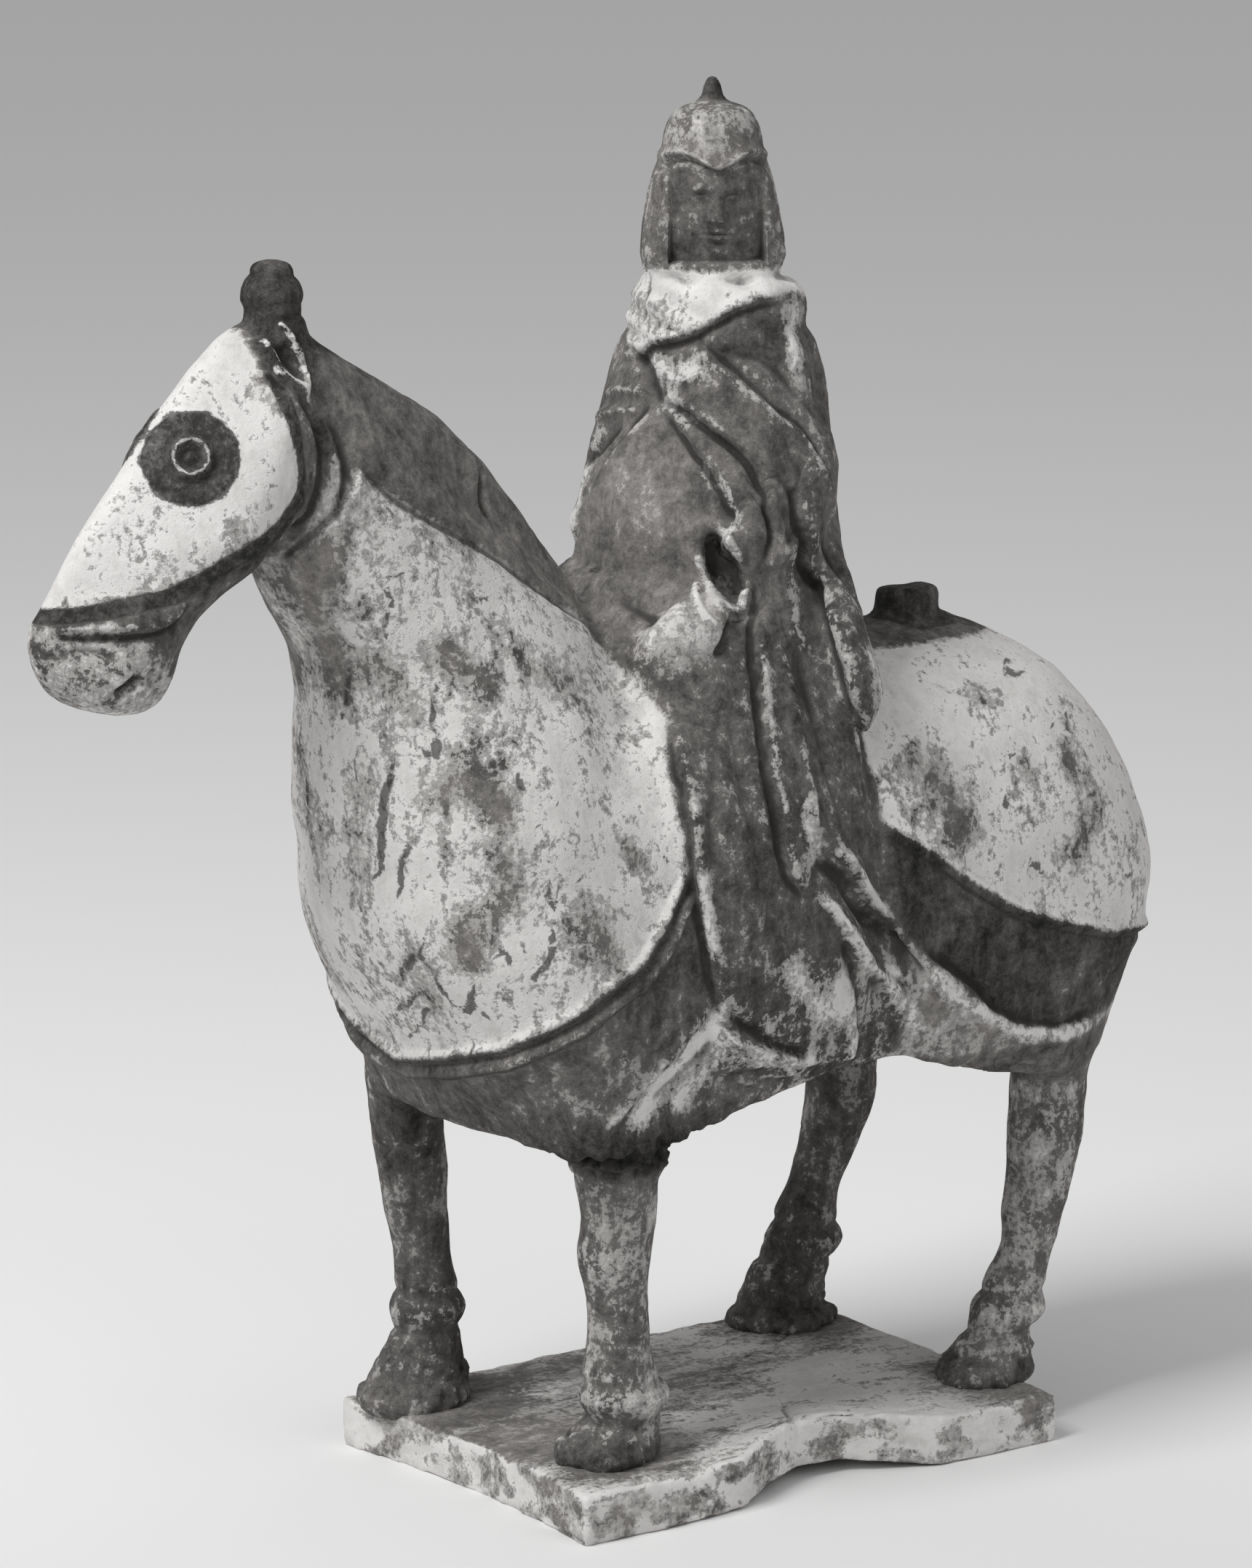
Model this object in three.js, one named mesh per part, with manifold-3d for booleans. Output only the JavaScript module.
// Tomb figure in fired clay: a helmeted, cloaked rider on an armoured horse, standing on a clay slab.
// Millimetres, +Z up. The horse faces -X, its left side is -Y, and the origin is the middle of the
// slab's underside.

import * as THREE from "three";
import { LoftGeometry } from "three/addons/geometries/LoftGeometry.js";
import { mergeVertices } from "three/addons/utils/BufferGeometryUtils.js";
import Module from "manifold-3d";

// ---- driving dimensions -------------------------------------------------------------------------

// The slab: a hand-cut plate, warped and notched along its left side between the hooves.
const SLAB = { length: 128, width: 91, thickness: 11, frontBow: 4, around: 48 };
// Each ring of the slab's skin as a share of its outline, from the underside's middle round to the top's.
const SLAB_RINGS = [0.4, 0.75, 1, 1, 0.75, 0.4];
const NOTCH = { at: 4, reach: 32, depth: 11, lift: 4.2, inward: 34 };
const SEAM = 0.3;
const HOOF_BASE = SLAB.thickness + SEAM;

// The horse's trunk in its armour, as level sections: where each ends in front and behind, and its
// half-width.
const TRUNK = [
  { z: 80, front: -67, rear: 97, half: 40 },
  { z: 94, front: -76, rear: 101, half: 43 },
  { z: 107, front: -83.5, rear: 108, half: 44.5 },
  { z: 121, front: -91, rear: 112, half: 45 },
  { z: 138, front: -95, rear: 107.5, half: 42.5 },
  { z: 154, front: -92, rear: 99, half: 37 },
  { z: 165, front: -84, rear: 90, half: 30 },
  { z: 173, front: -78, rear: 78, half: 20 },
  { z: 178.5, front: -60, rear: 66, half: 5 },
];
const CHEST_CENTRE = -52;
const RUMP_CENTRE = 60;
const CHEST_SQUARE = 2.2;
const RUMP_SQUARE = 2.4;
const TRUNK_ROWS = 12;
const TRUNK_CAP_STEPS = 13;
const TRUNK_SIDE_STEPS = 8;
// Below 1, the level sections spread away from the top; above 1, the hem's rise dies out quickly.
const TRUNK_CROWDING = 0.9;
const HEM_FADE = 3;

// The armour's lower hem rises under the rider.
const HEM = [
  { x: -90, z: 86 },
  { x: -50, z: 81 },
  { x: -32, z: 83 },
  { x: -5, z: 89 },
  { x: 20, z: 92.5 },
  { x: 46, z: 85.5 },
  { x: 75, z: 81 },
  { x: 112, z: 80 },
];
const HEM_WALL = 4.5;
const BELLY_RECESS = 7;
const HOLLOW_STEPS = 20;

// Lower edges of the front armour and of the crupper armour: height against the share of a lap round
// the trunk, from the tail (0) past the left side to the chest (0.5) and on to the tail again.
const FRONT_EDGE = [
  { lap: 0.28, z: 146 },
  { lap: 0.315, z: 136 },
  { lap: 0.344, z: 119 },
  { lap: 0.38, z: 109.5 },
  { lap: 0.46, z: 101 },
  { lap: 0.54, z: 98 },
  { lap: 0.6, z: 101 },
  { lap: 0.656, z: 116 },
  { lap: 0.72, z: 146 },
];
const CRUPPER_EDGE = [
  { lap: 0, z: 106.5 },
  { lap: 0.11, z: 110.5 },
  { lap: 0.156, z: 115.5 },
  { lap: 0.2, z: 124 },
  { lap: 0.235, z: 137 },
  { lap: 0.26, z: 152 },
];
// The cloth fold that sweeps back from the robe's hem over each flank.
const FLANK_FOLD = [
  { lap: 0.13, z: 92.5 },
  { lap: 0.166, z: 95.5 },
  { lap: 0.192, z: 102 },
  { lap: 0.214, z: 113 },
  { lap: 0.236, z: 129 },
];
const FLANK_FOLD_RADIUS = 2.4;
const BORDER_RADIUS = 1.5;
const BORDER_SPACING = 3.4;
const BORDER_SIDES = 5;
const FRONT_BORDER = { from: 0.29, to: 0.71, count: 17 };
const CRUPPER_BORDER = { from: -0.25, to: 0.25, count: 19 };
const FLANK_BORDER = { from: 0.13, to: 0.236, count: 8 };

// The neck, as level sections.
const NECK = [
  { z: 124, front: -84, rear: -14, half: 40 },
  { z: 142, front: -95.5, rear: -14, half: 42 },
  { z: 156, front: -97, rear: -18, half: 39 },
  { z: 169, front: -97.5, rear: -24, half: 34 },
  { z: 182, front: -99, rear: -29, half: 28.5 },
  { z: 194, front: -105, rear: -39, half: 23.5 },
  { z: 206, front: -114, rear: -51, half: 19.5 },
  { z: 220, front: -117, rear: -64, half: 16 },
  { z: 236, front: -116, rear: -82, half: 13 },
  { z: 250, front: -112, rear: -97, half: 9 },
];
// Where the neck is widest, as a share from front to rear, and how much it narrows towards the mane.
const NECK_WIDEST = 0.42;
const NECK_NARROWING = 0.18;
const NECK_ROWS = 10;
const NECK_SIDES = 24;

// The clipped mane: a roll along the crest of the neck.
const MANE = [
  { x: -109, z: 256 },
  { x: -103, z: 245 },
  { x: -93, z: 238.5 },
  { x: -76, z: 228.5 },
  { x: -62, z: 215.5 },
  { x: -50, z: 199.5 },
  { x: -38, z: 185 },
  { x: -28, z: 176 },
];
const MANE_ROLL = { wide: 7.5, deep: 8.5, sides: 9, steps: 11 };

// The head in its chamfron: measured down the straight nose from the poll, with the depth from the
// nose line to the jaw.
const HEAD = { x: -114, z: 266, down: 0.768, forward: 0.64 };
const HEAD_SECTIONS = [
  { along: 5, nose: -5, jaw: -17, half: 7 },
  { along: 12, nose: -2.2, jaw: -25, half: 12 },
  { along: 24, nose: -0.6, jaw: -32, half: 16.5 },
  { along: 38, nose: -0.2, jaw: -36, half: 18 },
  { along: 50, nose: -0.2, jaw: -35.5, half: 17 },
  { along: 61, nose: 0.2, jaw: -31, half: 14.5 },
  { along: 70, nose: -0.4, jaw: -32, half: 12.5 },
  { along: 79, nose: -1.6, jaw: -35.5, half: 12 },
  { along: 85.5, nose: -2, jaw: -33, half: 11.5 },
  { along: 90, nose: -6, jaw: -26, half: 9.5 },
  { along: 92.5, nose: -10.5, jaw: -20, half: 5 },
];
// How far the head narrows towards the nose line, and where round its section that starts.
const NOSE_TAPER = 0.55;
const NOSE_TAPER_START = -0.4;
// Power that squares off the head's level sections a little.
const HEAD_SQUARE = 0.85;
const HEAD_ROWS = 15;
const HEAD_SIDES = 22;
const EYE = { along: 39.4, depth: -7.2, radius: 8.5, dome: 2, half: 7.6, across: 12, down: 6 };
// The way the left eye faces: forward, to the side and up.
const EYE_FACING = { x: -0.46, y: 0.8, z: 0.38 };
// The broken knob on the poll tapers and leans forward a little.
const POLL_KNOB = { bottom: 247, top: 268.8, x: -108, lean: 1.2, radius: 8.4, topRadius: 4.6, sides: 7 };
const KNOB_SHOULDER = { share: 0.86, radius: 5.8 };

// Legs, from the hoof up: where the middle of each level section lies along the horse, and its
// half-width, with the fetlock between the two pinches and the hoof below them.
const LEGS = [
  {
    side: -1,
    out: { hoof: 26, top: 28 },
    levels: [
      { z: 11.3, x: -44, half: 9.6 },
      { z: 14, x: -43.5, half: 10.3 },
      { z: 18, x: -40.3, half: 9.2 },
      { z: 20, x: -39.5, half: 8.5 },
      { z: 23.5, x: -39.4, half: 9.7 },
      { z: 27.5, x: -40.6, half: 8.9 },
      { z: 33, x: -41.2, half: 7.3 },
      { z: 39.5, x: -41.2, half: 6.2 },
      { z: 47, x: -41.6, half: 6.8 },
      { z: 55, x: -42.4, half: 7.6 },
      { z: 66, x: -42, half: 8.1 },
      { z: 76, x: -42.6, half: 9.3 },
      { z: 104, x: -42, half: 10.5 },
    ],
  },
  {
    side: 1,
    out: { hoof: 34, top: 31 },
    levels: [
      { z: 11.3, x: -53.2, half: 12 },
      { z: 16.5, x: -51.6, half: 10.6 },
      { z: 23, x: -50.5, half: 9.3 },
      { z: 27.5, x: -49.4, half: 7 },
      { z: 31, x: -49.3, half: 8.1 },
      { z: 37, x: -50.4, half: 7.2 },
      { z: 43, x: -51.1, half: 6.3 },
      { z: 50, x: -51.8, half: 6.4 },
      { z: 60, x: -53.2, half: 7.4 },
      { z: 76, x: -55.5, half: 8.3 },
      { z: 104, x: -58, half: 9 },
    ],
  },
  {
    side: -1,
    out: { hoof: 26, top: 29 },
    levels: [
      { z: 11.3, x: 58, half: 10.2 },
      { z: 14, x: 60.1, half: 10.3 },
      { z: 19, x: 60.8, half: 9.4 },
      { z: 21.5, x: 63.7, half: 7.2 },
      { z: 24.5, x: 65.1, half: 7.9 },
      { z: 29.5, x: 66.2, half: 7.5 },
      { z: 35.5, x: 68.4, half: 6.5 },
      { z: 41, x: 70.2, half: 6.4 },
      { z: 48.5, x: 72.5, half: 7.1 },
      { z: 54, x: 74.1, half: 7.8 },
      { z: 60, x: 74.5, half: 8.1 },
      { z: 77, x: 75.3, half: 8.7 },
      { z: 104, x: 79, half: 9.5 },
    ],
  },
  {
    side: 1,
    out: { hoof: 35.5, top: 32 },
    levels: [
      { z: 11.3, x: 50, half: 12.3 },
      { z: 15, x: 50.5, half: 10.4 },
      { z: 19, x: 50.4, half: 9.4 },
      { z: 23.5, x: 51.1, half: 9.9 },
      { z: 26.5, x: 55, half: 8.1 },
      { z: 30, x: 56.2, half: 8.5 },
      { z: 34.5, x: 55.6, half: 7.8 },
      { z: 39, x: 56.9, half: 6.5 },
      { z: 45, x: 59.1, half: 6 },
      { z: 51, x: 61.5, half: 6.6 },
      { z: 56, x: 63.5, half: 7.5 },
      { z: 62, x: 65, half: 8.4 },
      { z: 68, x: 65.3, half: 8.4 },
      { z: 104, x: 76, half: 9.5 },
    ],
  },
];
const LEG_LONG = 1.06;
const LEG_WIDE = 0.92;
const LEG_ROWS = 15;
const LEG_SIDES = 10;
// Above 1, the level sections crowd towards the hoof.
const LEG_CROWDING = 1.45;
const LEG_TOP = 104;

// The broken plume socket on the rump.
const STUMP = { x: 56, bottom: 168, top: 185, radius: 10.5, topRadius: 6.4, sides: 14 };

// The rider's robe where it hangs over the horse's sides.
const ROBE = [
  { z: 94, front: -22, rear: 13, half: 45.5 },
  { z: 104, front: -29, rear: 15, half: 47.8 },
  { z: 122, front: -36, rear: 17, half: 48.5 },
  { z: 140, front: -39.5, rear: 16, half: 47.3 },
  { z: 156, front: -41, rear: 16, half: 43.3 },
  { z: 170, front: -39.5, rear: 26, half: 37.5 },
  { z: 184, front: -36, rear: 34, half: 32 },
  { z: 196, front: -29, rear: 30, half: 27 },
];
const ROBE_FOLDS = 9;
const ROBE_FOLD_DEPTH = 1.1;
const ROBE_SQUARE = { hanging: 0.34, lap: 0.85 };
// The robe stops hanging straight between these heights, and its folds lean with height.
const ROBE_LAP = { from: 150, to: 192 };
const ROBE_FOLD_LEAN = 0.03;
const ROBE_ROWS = 9;
const ROBE_SIDES = 34;

// The rider's body, turned to the left of the way the horse faces.
const TORSO_TURN = THREE.MathUtils.degToRad(28);
const TORSO = [
  { z: 168, centre: 4, side: 32, deep: 27 },
  { z: 180, centre: 2.5, side: 32, deep: 27 },
  { z: 196, centre: 1.5, side: 28.6, deep: 25.5 },
  { z: 210, centre: 1.8, side: 26.8, deep: 23.5 },
  { z: 224, centre: 3, side: 25.2, deep: 20.5 },
  { z: 236, centre: 4, side: 23.3, deep: 18 },
  { z: 246, centre: 4.2, side: 20.2, deep: 14.5 },
  { z: 252, centre: 4, side: 15.5, deep: 11.5 },
  { z: 259, centre: 4, side: 9.5, deep: 9 },
];
const CAPE_FOLDS = 5;
const CAPE_FOLD_DEPTH = 0.9;
const CAPE_FOLD_LEAN = 0.05;
// The cape's folds die out towards the collar and round to the belly, in millimetres and radians.
const CAPE_TOP = { from: 236, to: 256 };
const CAPE_EDGE = { from: 0.6, to: 1.1 };
const TORSO_SQUARE = 0.9;
const TORSO_ROWS = 12;
const TORSO_SIDES = 30;
const BELLY = { z: 205, height: 30, swell: 3.5, spread: 0.75 };

// Arms as ahead, out and height of each joint, and the cape's hanging sleeves.
const ARM_CENTRE = 2;
const ARMS = [
  { side: 1, shoulder: [-2, 18, 238], elbow: [4, 26, 212], wrist: [26, 15.5, 203], wide: 10.5, deep: 5.5 },
  { side: -1, shoulder: [0, 15, 238], elbow: [5, 21, 212], wrist: [14, 24, 197], wide: 8, deep: 4.6 },
];
// The gathered cloth from the left cuff down to the horse's withers.
const REIN_CLOTH = [
  { x: -12, y: -25, z: 197 },
  { x: -22, y: -26.5, z: 189 },
  { x: -38, y: -26, z: 177 },
];
const REIN_CLOTH_SIZE = { wide: 7.5, deep: 9, startSize: 0.42, sides: 9, steps: 6 };
const ARM_ROLL = { sides: 9, steps: 6, startSize: 0.8 };
const SLEEVE_CENTRE = 5;
// The first two joints are ahead, out and up on the rider; the last two are along, out and up.
const SLEEVE_SHOULDER = [
  { ahead: -6, out: 15, z: 240 },
  { ahead: -7, out: 18.5, z: 207 },
];
const SLEEVE_HANGING = [
  { x: 12.5, out: 34, z: 184 },
  { x: 12.5, out: 41, z: 164 },
];
const SLEEVE_ROLL = { wide: 7.5, deep: 5, sides: 8, steps: 8, startSize: 0.8 };

// Helmet, face and collar.
const HEAD_TURN = THREE.MathUtils.degToRad(60);
const HELMET = [
  { z: 252, side: 14.3, deep: 13.8 },
  { z: 258, side: 14.7, deep: 14.2 },
  { z: 262.5, side: 15.4, deep: 14.4 },
  { z: 269, side: 14.6, deep: 14 },
  { z: 275, side: 13.5, deep: 13.2 },
  { z: 280.5, side: 12.1, deep: 12.1 },
  { z: 283.5, side: 10.8, deep: 11.2 },
  { z: 287.5, side: 9.9, deep: 10.2 },
  { z: 291.2, side: 8.2, deep: 8.4 },
  { z: 293.4, side: 5.4, deep: 5.6 },
  { z: 294.4, side: 2.8, deep: 2.8 },
];
const HELMET_CENTRE = { x: 2.6, y: 0 };
const HELMET_ROWS = 14;
const HELMET_SIDES = 24;
const FACE = { bottom: 260.5, top: 280, reach: 0.66, recess: 2.2 };
// A plain wedge stands for the nose.
const NOSE = { z: 270, height: 5.5, reach: 0.2, depth: 3 };
// The cone on the crown: radius against the share of its height.
const FINIAL = { bottom: 292.5, top: 300 };
const FINIAL_PROFILE = [
  { share: 0, radius: 0 },
  { share: 0, radius: 3.4 },
  { share: 0.35, radius: 3.1 },
  { share: 0.45, radius: 2.6 },
  { share: 0.72, radius: 1.9 },
  { share: 0.93, radius: 1 },
  { share: 1, radius: 0 },
];
const FINIAL_SIDES = 10;
const COLLAR = { centre: 4, z: 251.5, side: 14.6, deep: 12.6, tall: 6.3, thick: 5 };
const COLLAR_FRONT = { droop: 6, deeper: 6, lean: 3 };
const COLLAR_AROUND = 22;
const COLLAR_SIDES = 8;

// ---- helpers ------------------------------------------------------------------------------------

const wasm = await Module();
wasm.setup();

const FULL_TURN = Math.PI * 2;
const UP = new THREE.Vector3(0, 0, 1);
const lerp = THREE.MathUtils.lerp;
const smoothstep = THREE.MathUtils.smoothstep;

// A smooth hump: 1 in the middle, 0 at a distance of 1 and beyond.
function hump(distance) {
  return Math.abs(distance) < 1 ? 0.5 + 0.5 * Math.cos(Math.PI * distance) : 0;
}

// A power that keeps the sign of its base, for squared-off ovals.
function signedPower(value, power) {
  return Math.sign(value) * Math.abs(value) ** power;
}

// Reads one quantity from a list of stations, with a curve that never overshoots them.
function reading(stations, by, key) {
  const at = stations.map((station) => station[by]);
  const value = stations.map((station) => station[key]);
  const last = at.length - 1;
  const slopes = at.slice(1).map((next, i) => (value[i + 1] - value[i]) / (next - at[i]));
  const tangent = at.map((_, i) => {
    if (i === 0) return slopes[0];
    if (i === last) return slopes[last - 1];
    const before = slopes[i - 1];
    const after = slopes[i];
    return before * after <= 0 ? 0 : (2 * before * after) / (before + after);
  });
  return (where) => {
    if (where <= at[0]) return value[0];
    if (where >= at[last]) return value[last];
    const i = at.findIndex((next, k) => k > 0 && where <= next) - 1;
    const span = at[i + 1] - at[i];
    const t = (where - at[i]) / span;
    const rise = t * t * (3 - 2 * t);
    return (
      value[i] * (1 - rise) +
      value[i + 1] * rise +
      tangent[i] * span * t * (1 - t) * (1 - t) -
      tangent[i + 1] * span * t * t * (1 - t)
    );
  };
}

// A closed geometry as a manifold-3d solid, with its faces turned outwards. Triangles that have shrunk
// to a line, at the tips of closed lofts, are dropped.
function solidFrom(geometry) {
  const bare = new THREE.BufferGeometry();
  bare.setAttribute("position", geometry.getAttribute("position"));
  bare.setIndex(geometry.getIndex());
  const merged = mergeVertices(bare, 1e-4);
  const corners = merged.index.array;
  const kept = [];
  for (let i = 0; i < corners.length; i += 3) {
    const [a, b, c] = corners.slice(i, i + 3);
    if (a !== b && b !== c && c !== a) kept.push([a, b, c]);
  }
  const build = (faces) =>
    new wasm.Manifold(
      new wasm.Mesh({
        numProp: 3,
        vertProperties: merged.attributes.position.array,
        triVerts: new Uint32Array(faces.flat()),
      }),
    );
  const solid = build(kept);
  return solid.volume() > 0 ? solid : build(kept.map(([a, b, c]) => [a, c, b]));
}

// Skins rows of rings: pointAt(row, round) gives each point, with both running from 0 to 1. Each end
// closes on the middle of its ring.
function loft(rows, columns, pointAt) {
  const sections = [];
  for (let i = 0; i <= rows; i++) {
    const ring = [];
    for (let j = 0; j < columns; j++) ring.push(pointAt(i / rows, j / columns));
    sections.push(ring);
  }
  return solidFrom(new LoftGeometry([tip(sections[0]), ...sections, tip(sections[rows])]));
}

function tip(ring) {
  const middle = new THREE.Vector3();
  for (const point of ring) middle.addScaledVector(point, 1 / ring.length);
  return ring.map(() => middle.clone());
}

// How blunt a roll's ends are, and the smallest share of its section's area that is left there.
const ROLL_BLUNTNESS = 7;
const ROLL_END = 0.04;

// A roll of oval section along a list of points, with round ends. Its width lies square to both the
// path and the given direction, and its depth square to its width.
function roll(points, { wide, deep, sides, steps, across, startSize = 1 }) {
  const path = new THREE.CatmullRomCurve3(points);
  return loft(steps, sides, (along, round) => {
    const middle = path.getPoint(along);
    const heading = path.getTangent(along);
    const widthWay = new THREE.Vector3().crossVectors(heading, across).normalize();
    const depthWay = new THREE.Vector3().crossVectors(widthWay, heading).normalize();
    const rounding = Math.sqrt(Math.max(ROLL_END, 1 - Math.abs(2 * along - 1) ** ROLL_BLUNTNESS));
    const size = rounding * lerp(startSize, 1, along);
    return middle
      .addScaledVector(widthWay, wide * size * Math.cos(FULL_TURN * round))
      .addScaledVector(depthWay, deep * size * Math.sin(FULL_TURN * round));
  });
}

function joined(solids) {
  return solids.reduce((whole, next) => whole.add(next));
}

function meshOf(name, solid, look) {
  const made = solid.getMesh();
  const geometry = new THREE.BufferGeometry();
  geometry.setAttribute("position", new THREE.BufferAttribute(made.vertProperties, 3));
  geometry.setIndex(new THREE.BufferAttribute(made.triVerts, 1));
  const mesh = new THREE.Mesh(geometry, new THREE.MeshStandardMaterial(look));
  mesh.name = name;
  return mesh;
}

// ---- the horse ----------------------------------------------------------------------------------

const trunkFront = reading(TRUNK, "z", "front");
const trunkRear = reading(TRUNK, "z", "rear");
const trunkHalf = reading(TRUNK, "z", "half");
const hemAt = reading(HEM, "x", "z");

// One lap of a trunk section, starting at the tail and passing the left side: the rump's cap, the
// straight left side, the chest's cap and the straight right side.
function trunkLap(share) {
  const total = 2 * (TRUNK_CAP_STEPS + TRUNK_SIDE_STEPS);
  let step = (share * total + TRUNK_CAP_STEPS / 2 + total) % total;
  if (step < TRUNK_CAP_STEPS) return { zone: "rump", turn: step / TRUNK_CAP_STEPS - 0.5 };
  step -= TRUNK_CAP_STEPS;
  if (step < TRUNK_SIDE_STEPS) return { zone: "left", turn: step / TRUNK_SIDE_STEPS };
  step -= TRUNK_SIDE_STEPS;
  if (step < TRUNK_CAP_STEPS) return { zone: "chest", turn: step / TRUNK_CAP_STEPS - 0.5 };
  step -= TRUNK_CAP_STEPS;
  return { zone: "right", turn: step / TRUNK_SIDE_STEPS };
}

function trunkPoint(share, z, inset = 0) {
  const half = trunkHalf(z) - inset;
  const { zone, turn } = trunkLap(share);
  if (zone === "left") return [lerp(RUMP_CENTRE, CHEST_CENTRE, turn), -half];
  if (zone === "right") return [lerp(CHEST_CENTRE, RUMP_CENTRE, turn), half];
  const angle = Math.PI * turn;
  const square = zone === "rump" ? 2 / RUMP_SQUARE : 2 / CHEST_SQUARE;
  const reach = Math.abs(Math.cos(angle)) ** square;
  const sideways = half * signedPower(Math.sin(angle), square);
  if (zone === "rump") return [RUMP_CENTRE + (trunkRear(z) - inset - RUMP_CENTRE) * reach, -sideways];
  return [CHEST_CENTRE - (CHEST_CENTRE - trunkFront(z) - inset) * reach, sideways];
}

function trunkBody() {
  const bottom = TRUNK[0].z;
  const top = TRUNK[TRUNK.length - 1].z;
  return loft(TRUNK_ROWS, 2 * (TRUNK_CAP_STEPS + TRUNK_SIDE_STEPS), (row, share) => {
    const level = lerp(bottom, top, Math.sin((row * Math.PI) / 2) ** TRUNK_CROWDING);
    const [x, y] = trunkPoint(share, level);
    const z = level + (hemAt(x) - bottom) * (1 - row) ** HEM_FADE;
    return new THREE.Vector3(x, y, z);
  });
}

// The hollow under the armour's skirt.
function bellyHollow() {
  const bottom = TRUNK[0].z;
  return loft(2, HOLLOW_STEPS, (row, share) => {
    const [x, y] = trunkPoint(share, bottom, HEM_WALL);
    const z = row === 0 ? bottom - BELLY_RECESS : hemAt(x) + BELLY_RECESS * (2 * row - 1);
    return new THREE.Vector3(x, y, z);
  });
}

// A raised border that follows the trunk's surface over a list of laps, at a height read by lap.
function border(laps, heightAt, radius = BORDER_RADIUS) {
  const points = laps.map((lap) => {
    const z = heightAt(lap);
    const [x, y] = trunkPoint(lap, z);
    return new THREE.Vector3(x, y, z);
  });
  return roll(points, { wide: radius, deep: radius, sides: BORDER_SIDES, steps: laps.length, across: UP });
}

function spread({ from, to, count }) {
  return Array.from({ length: count }, (_, i) => lerp(from, to, i / (count - 1)));
}

function armourBorders() {
  const frontEdge = reading(FRONT_EDGE, "lap", "z");
  const crupperEdge = reading(CRUPPER_EDGE, "lap", "z");
  const flankFold = reading(FLANK_FOLD, "lap", "z");
  return [
    border(spread(FRONT_BORDER), frontEdge),
    border(spread(FRONT_BORDER), (lap) => frontEdge(lap) - BORDER_SPACING),
    border(spread(CRUPPER_BORDER), (lap) => crupperEdge(Math.abs(lap))),
    border(spread(FLANK_BORDER), flankFold, FLANK_FOLD_RADIUS),
    border(spread(FLANK_BORDER).map((lap) => -lap), (lap) => flankFold(-lap), FLANK_FOLD_RADIUS),
  ];
}

function neck() {
  const front = reading(NECK, "z", "front");
  const rear = reading(NECK, "z", "rear");
  const half = reading(NECK, "z", "half");
  return loft(NECK_ROWS, NECK_SIDES, (row, round) => {
    const z = lerp(NECK[0].z, NECK[NECK.length - 1].z, row);
    const angle = FULL_TURN * round;
    const widest = lerp(front(z), rear(z), NECK_WIDEST);
    const ahead = Math.cos(angle) > 0;
    const reach = ahead ? front(z) - widest : widest - rear(z);
    const pinch = ahead ? 1 : 1 - NECK_NARROWING * Math.cos(angle) ** 2;
    return new THREE.Vector3(
      widest + reach * Math.cos(angle),
      half(z) * pinch * Math.sin(angle),
      z,
    );
  });
}

function mane() {
  const points = MANE.map(({ x, z }) => new THREE.Vector3(x, 0, z));
  return roll(points, { ...MANE_ROLL, across: UP });
}

// A point in the head's own frame: down the nose, out from the nose line, and sideways.
function headPlace(along, out, side) {
  return new THREE.Vector3(
    HEAD.x - HEAD.forward * along - HEAD.down * out,
    side,
    HEAD.z - HEAD.down * along + HEAD.forward * out,
  );
}

function horseHead() {
  const nose = reading(HEAD_SECTIONS, "along", "nose");
  const jaw = reading(HEAD_SECTIONS, "along", "jaw");
  const half = reading(HEAD_SECTIONS, "along", "half");
  const start = HEAD_SECTIONS[0].along;
  const end = HEAD_SECTIONS[HEAD_SECTIONS.length - 1].along;
  return loft(HEAD_ROWS, HEAD_SIDES, (row, round) => {
    const along = lerp(start, end, Math.sin((row * Math.PI) / 2));
    const angle = FULL_TURN * round;
    const middle = (nose(along) + jaw(along)) / 2;
    const reach = (nose(along) - jaw(along)) / 2;
    const squared = signedPower(Math.sin(angle), HEAD_SQUARE);
    const slim = 1 - NOSE_TAPER * smoothstep(Math.cos(angle), NOSE_TAPER_START, 1);
    return headPlace(along, middle + reach * Math.cos(angle), half(along) * slim * squared);
  });
}

// The eye: a low round boss on the slanting side of the chamfron.
function eye(side) {
  const boss = new THREE.SphereGeometry(1, EYE.across, EYE.down);
  boss.scale(EYE.radius, EYE.radius, EYE.dome);
  const lean = new THREE.Vector3(EYE_FACING.x, side * EYE_FACING.y, EYE_FACING.z).normalize();
  boss.applyQuaternion(new THREE.Quaternion().setFromUnitVectors(new THREE.Vector3(0, 0, 1), lean));
  const place = headPlace(EYE.along, EYE.depth, side * EYE.half);
  boss.translate(place.x, place.y, place.z);
  return solidFrom(boss);
}

// The broken knob on the poll.
function pollKnob() {
  const { bottom, top, x, lean, radius, topRadius, sides } = POLL_KNOB;
  const shoulder = lerp(bottom, top, KNOB_SHOULDER.share);
  const rings = [
    { z: bottom, size: radius },
    { z: shoulder, size: KNOB_SHOULDER.radius },
    { z: top, size: topRadius },
  ];
  return loft(rings.length - 1, sides, (row, round) => {
    const { z, size } = rings[Math.round(row * (rings.length - 1))];
    const middle = x - (lean * (z - bottom)) / (top - bottom);
    const angle = FULL_TURN * round;
    return new THREE.Vector3(middle + size * Math.cos(angle), size * Math.sin(angle), z);
  });
}

function leg({ side, out, levels }) {
  const middle = reading(levels, "z", "x");
  const half = reading(levels, "z", "half");
  return loft(LEG_ROWS, LEG_SIDES, (row, round) => {
    const share = row ** LEG_CROWDING;
    const z = lerp(HOOF_BASE, LEG_TOP, share);
    const angle = FULL_TURN * round;
    return new THREE.Vector3(
      middle(z) + half(z) * LEG_LONG * Math.cos(angle),
      side * lerp(out.hoof, out.top, share) + half(z) * LEG_WIDE * Math.sin(angle),
      z,
    );
  });
}

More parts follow.
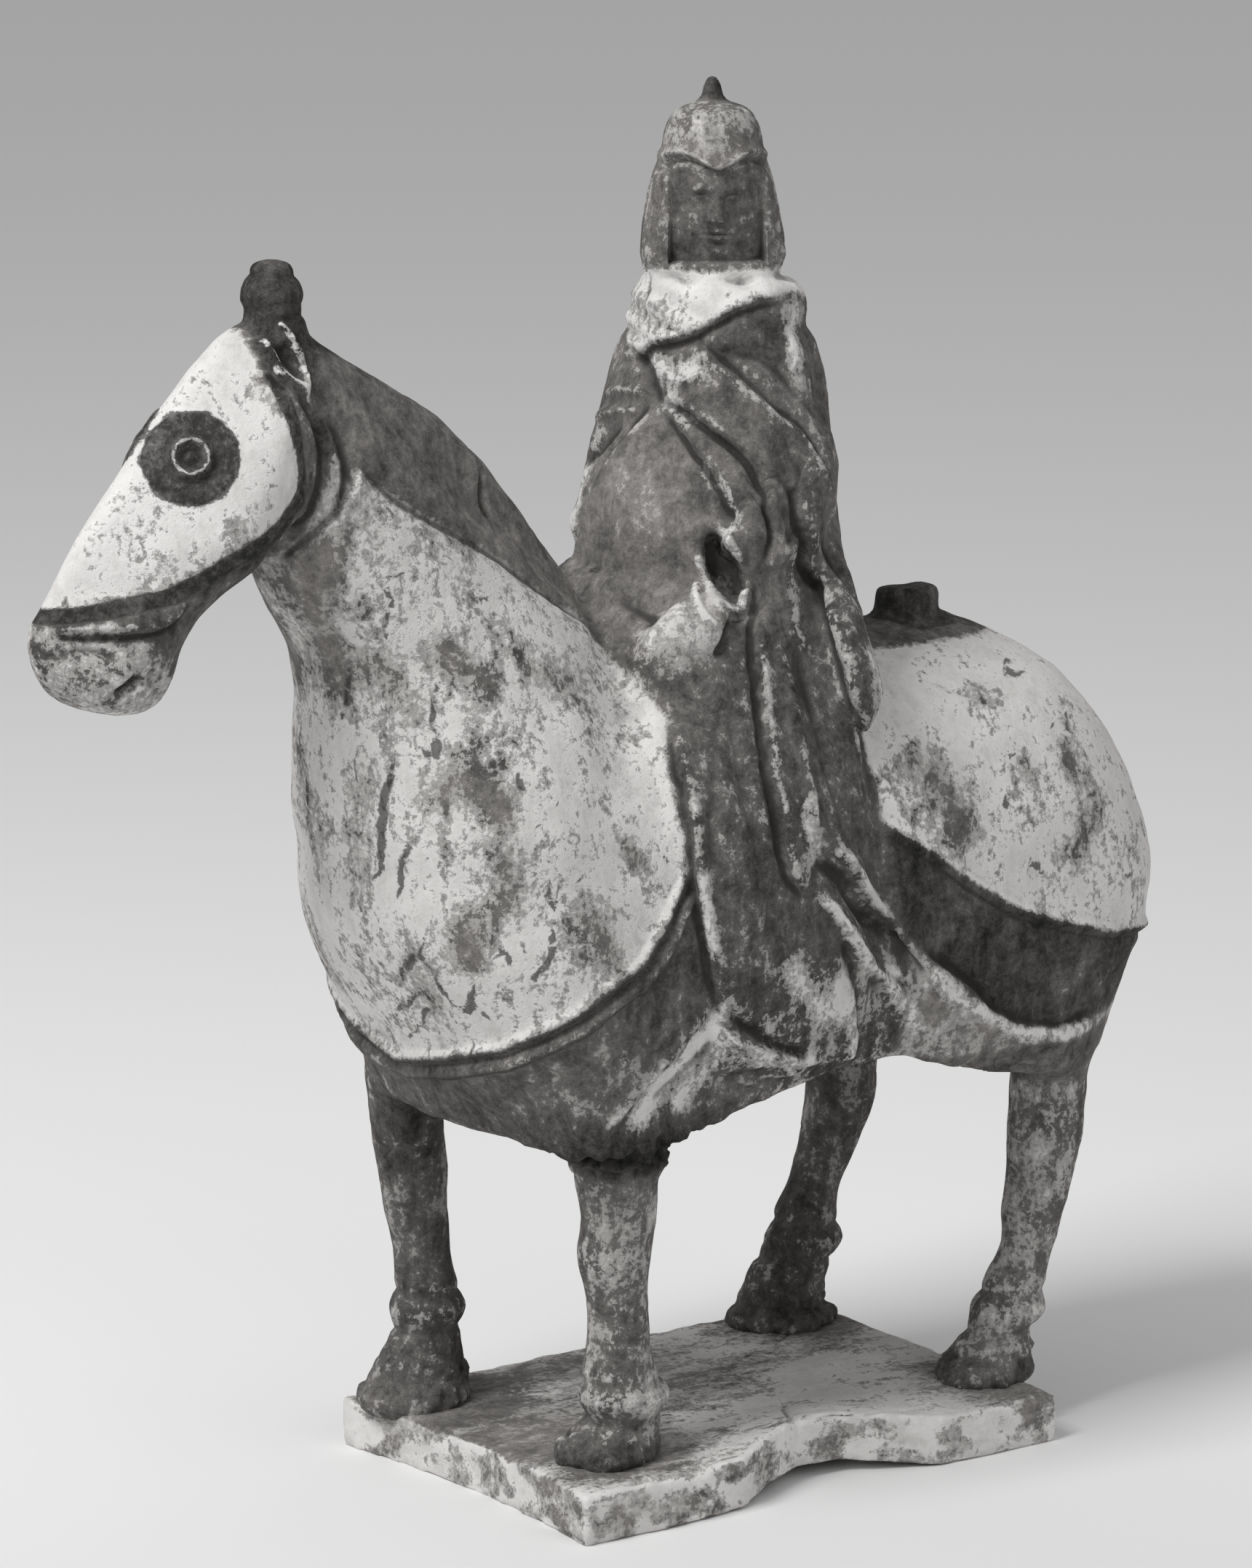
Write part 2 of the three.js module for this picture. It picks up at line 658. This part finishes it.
function stump() {
  const { x, bottom, top, radius, topRadius, sides } = STUMP;
  const socket = new THREE.CylinderGeometry(topRadius, radius, top - bottom, sides);
  socket.rotateX(Math.PI / 2);
  socket.translate(x, 0, (top + bottom) / 2);
  return solidFrom(socket);
}

// ---- the rider ----------------------------------------------------------------------------------

// A point on a body that is turned about the vertical: ahead and to its own left.
function turned(centre, turn, ahead, left, z) {
  return new THREE.Vector3(
    centre - ahead * Math.cos(turn) + left * Math.sin(turn),
    -ahead * Math.sin(turn) - left * Math.cos(turn),
    z,
  );
}

// The robe over the horse's sides, with long hanging folds.
function robe() {
  const front = reading(ROBE, "z", "front");
  const rear = reading(ROBE, "z", "rear");
  const half = reading(ROBE, "z", "half");
  return loft(ROBE_ROWS, ROBE_SIDES, (row, round) => {
    const z = lerp(ROBE[0].z, ROBE[ROBE.length - 1].z, row);
    const angle = FULL_TURN * round;
    const square = lerp(ROBE_SQUARE.hanging, ROBE_SQUARE.lap, smoothstep(z, ROBE_LAP.from, ROBE_LAP.to));
    const along = signedPower(Math.cos(angle), square);
    const middle = (front(z) + rear(z)) / 2;
    const reach = (rear(z) - front(z)) / 2;
    const depth = ROBE_FOLD_DEPTH * (1 - smoothstep(z, ROBE_LAP.from, ROBE_LAP.to));
    const fold = depth * Math.cos(ROBE_FOLDS * Math.PI * (0.5 + 0.5 * along) + ROBE_FOLD_LEAN * z);
    const sideways = signedPower(Math.sin(angle), square);
    return new THREE.Vector3(middle + reach * along, (half(z) + fold) * sideways, z);
  });
}

function torso() {
  const centre = reading(TORSO, "z", "centre");
  const side = reading(TORSO, "z", "side");
  const deep = reading(TORSO, "z", "deep");
  return loft(TORSO_ROWS, TORSO_SIDES, (row, round) => {
    const z = lerp(TORSO[0].z, TORSO[TORSO.length - 1].z, row);
    const angle = FULL_TURN * round;
    const ahead = signedPower(Math.cos(angle), TORSO_SQUARE);
    const left = signedPower(Math.sin(angle), TORSO_SQUARE);
    const off = Math.atan2(Math.sin(angle), Math.cos(angle));
    const belly = BELLY.swell * hump((z - BELLY.z) / BELLY.height) * hump(off / BELLY.spread);
    const fade = 1 - smoothstep(z, CAPE_TOP.from, CAPE_TOP.to);
    const away = smoothstep(Math.abs(off), CAPE_EDGE.from, CAPE_EDGE.to);
    const fold = CAPE_FOLD_DEPTH * fade * away * Math.cos(CAPE_FOLDS * 2 * off + CAPE_FOLD_LEAN * z);
    const swell = 1 + (belly + fold) / deep(z);
    return turned(centre(z), TORSO_TURN, deep(z) * ahead * swell, side(z) * left * swell, z);
  });
}

// Both forearms come forward from under the cape. The left one ends in a tall open cuff at the middle
// of the body, the right one in a narrow broken edge.
function arm({ side, shoulder, elbow, wrist, wide, deep }) {
  const points = [shoulder, elbow, wrist].map(([ahead, out, z]) =>
    turned(ARM_CENTRE, TORSO_TURN, ahead, side * out, z),
  );
  const across = turned(0, TORSO_TURN, 0, 1, 0);
  return roll(points, { ...ARM_ROLL, wide, deep, across });
}

function reinCloth() {
  const points = REIN_CLOTH.map(({ x, y, z }) => new THREE.Vector3(x, y, z));
  return roll(points, { ...REIN_CLOTH_SIZE, across: UP });
}

// The cape's empty sleeve hangs behind each arm down to the horse's flank.
function hangingSleeve(side) {
  const points = [
    ...SLEEVE_SHOULDER.map(({ ahead, out, z }) => turned(SLEEVE_CENTRE, TORSO_TURN, ahead, side * out, z)),
    ...SLEEVE_HANGING.map(({ x, out, z }) => new THREE.Vector3(x, -side * out, z)),
  ];
  const across = turned(0, TORSO_TURN, 0, 1, 0);
  return roll(points, { ...SLEEVE_ROLL, across });
}

function helmet() {
  const side = reading(HELMET, "z", "side");
  const deep = reading(HELMET, "z", "deep");
  return loft(HELMET_ROWS, HELMET_SIDES, (row, round) => {
    const z = lerp(HELMET[0].z, HELMET[HELMET.length - 1].z, Math.sin((row * Math.PI) / 2));
    const angle = FULL_TURN * round;
    const off = Math.atan2(Math.sin(angle), Math.cos(angle));
    const inFace = z > FACE.bottom && z < FACE.top && Math.abs(off) < FACE.reach;
    const recess = inFace ? FACE.recess : 0;
    const nose = NOSE.depth * hump(off / NOSE.reach) * hump((z - NOSE.z) / NOSE.height);
    const swell = 1 - (recess - nose) / deep(z);
    return turned(
      HELMET_CENTRE.x,
      HEAD_TURN,
      deep(z) * Math.cos(angle) * swell,
      side(z) * Math.sin(angle) * swell,
      z,
    );
  });
}

function finial() {
  const height = FINIAL.top - FINIAL.bottom;
  const profile = FINIAL_PROFILE.map(({ share, radius }) => new THREE.Vector2(radius, share * height));
  const turnedCone = new THREE.LatheGeometry(profile, FINIAL_SIDES);
  turnedCone.rotateX(Math.PI / 2);
  turnedCone.translate(HELMET_CENTRE.x, HELMET_CENTRE.y, FINIAL.bottom);
  return solidFrom(turnedCone);
}

// The thick scarf round the neck, hanging lower in front.
function collar() {
  const { centre, side, deep, tall, thick } = COLLAR;
  const { droop, deeper, lean } = COLLAR_FRONT;
  const sections = [];
  for (let i = 0; i <= COLLAR_AROUND; i++) {
    const angle = (FULL_TURN * i) / COLLAR_AROUND;
    const front = (0.5 + 0.5 * Math.cos(angle)) ** 2;
    const ring = [];
    for (let j = 0; j < COLLAR_SIDES; j++) {
      const round = (FULL_TURN * j) / COLLAR_SIDES;
      const out = thick * Math.cos(round);
      const z = COLLAR.z - droop * front + (tall + deeper * front) * Math.sin(round);
      const forward = lean * front * Math.max(0, -Math.sin(round));
      const ahead = (deep + out + forward) * Math.cos(angle);
      ring.push(turned(centre, TORSO_TURN, ahead, (side + out) * Math.sin(angle), z));
    }
    sections.push(ring);
  }
  return solidFrom(new LoftGeometry(sections));
}

// ---- the slab -----------------------------------------------------------------------------------

// The slab's outline at a share of one lap, from the front left corner along the notched left side.
function slabOutline(lap) {
  const { length, width, frontBow } = SLAB;
  const side = Math.floor(lap * 4) % 4;
  const t = lap * 4 - Math.floor(lap * 4);
  const notch = NOTCH.depth * hump((lerp(-length / 2, length / 2, t) - NOTCH.at) / NOTCH.reach);
  if (side === 0) return [lerp(-length / 2, length / 2, t), -width / 2 + notch];
  if (side === 1) return [length / 2, lerp(-width / 2, width / 2, t)];
  if (side === 2) return [lerp(length / 2, -length / 2, t), width / 2];
  return [-length / 2 + frontBow * Math.sin(Math.PI * t), lerp(width / 2, -width / 2, t)];
}

// Rings run from the middle of the underside out to the edge, up it, and in again over the top. The
// slab curls up beside the notch.
function slab() {
  const last = SLAB_RINGS.length - 1;
  return loft(last, SLAB.around, (row, lap) => {
    const ring = Math.round(row * last);
    const [edgeX, edgeY] = slabOutline(lap);
    const x = edgeX * SLAB_RINGS[ring];
    const y = edgeY * SLAB_RINGS[ring];
    const inward = hump(Math.max(0, y + SLAB.width / 2) / NOTCH.inward);
    const lift = NOTCH.lift * inward * hump((x - NOTCH.at) / NOTCH.reach);
    const bottom = ring < SLAB_RINGS.length / 2;
    return new THREE.Vector3(x, y, (bottom ? 0 : SLAB.thickness) + lift);
  });
}

// ---- the assembly -------------------------------------------------------------------------------

const figure = joined([
  trunkBody().subtract(bellyHollow()),
  ...armourBorders(),
  neck(),
  mane(),
  horseHead(),
  eye(-1),
  eye(1),
  pollKnob(),
  ...LEGS.map(leg),
  stump(),
  robe(),
  torso(),
  ...ARMS.map(arm),
  reinCloth(),
  hangingSleeve(1),
  hangingSleeve(-1),
  helmet(),
  finial(),
  collar(),
]);

const group = new THREE.Group();
group.add(meshOf("horse_and_rider", figure, { color: 0x8d8780, roughness: 0.92, metalness: 0 }));
group.add(meshOf("plinth", slab(), { color: 0xb6afa4, roughness: 0.95, metalness: 0 }));

export default group;
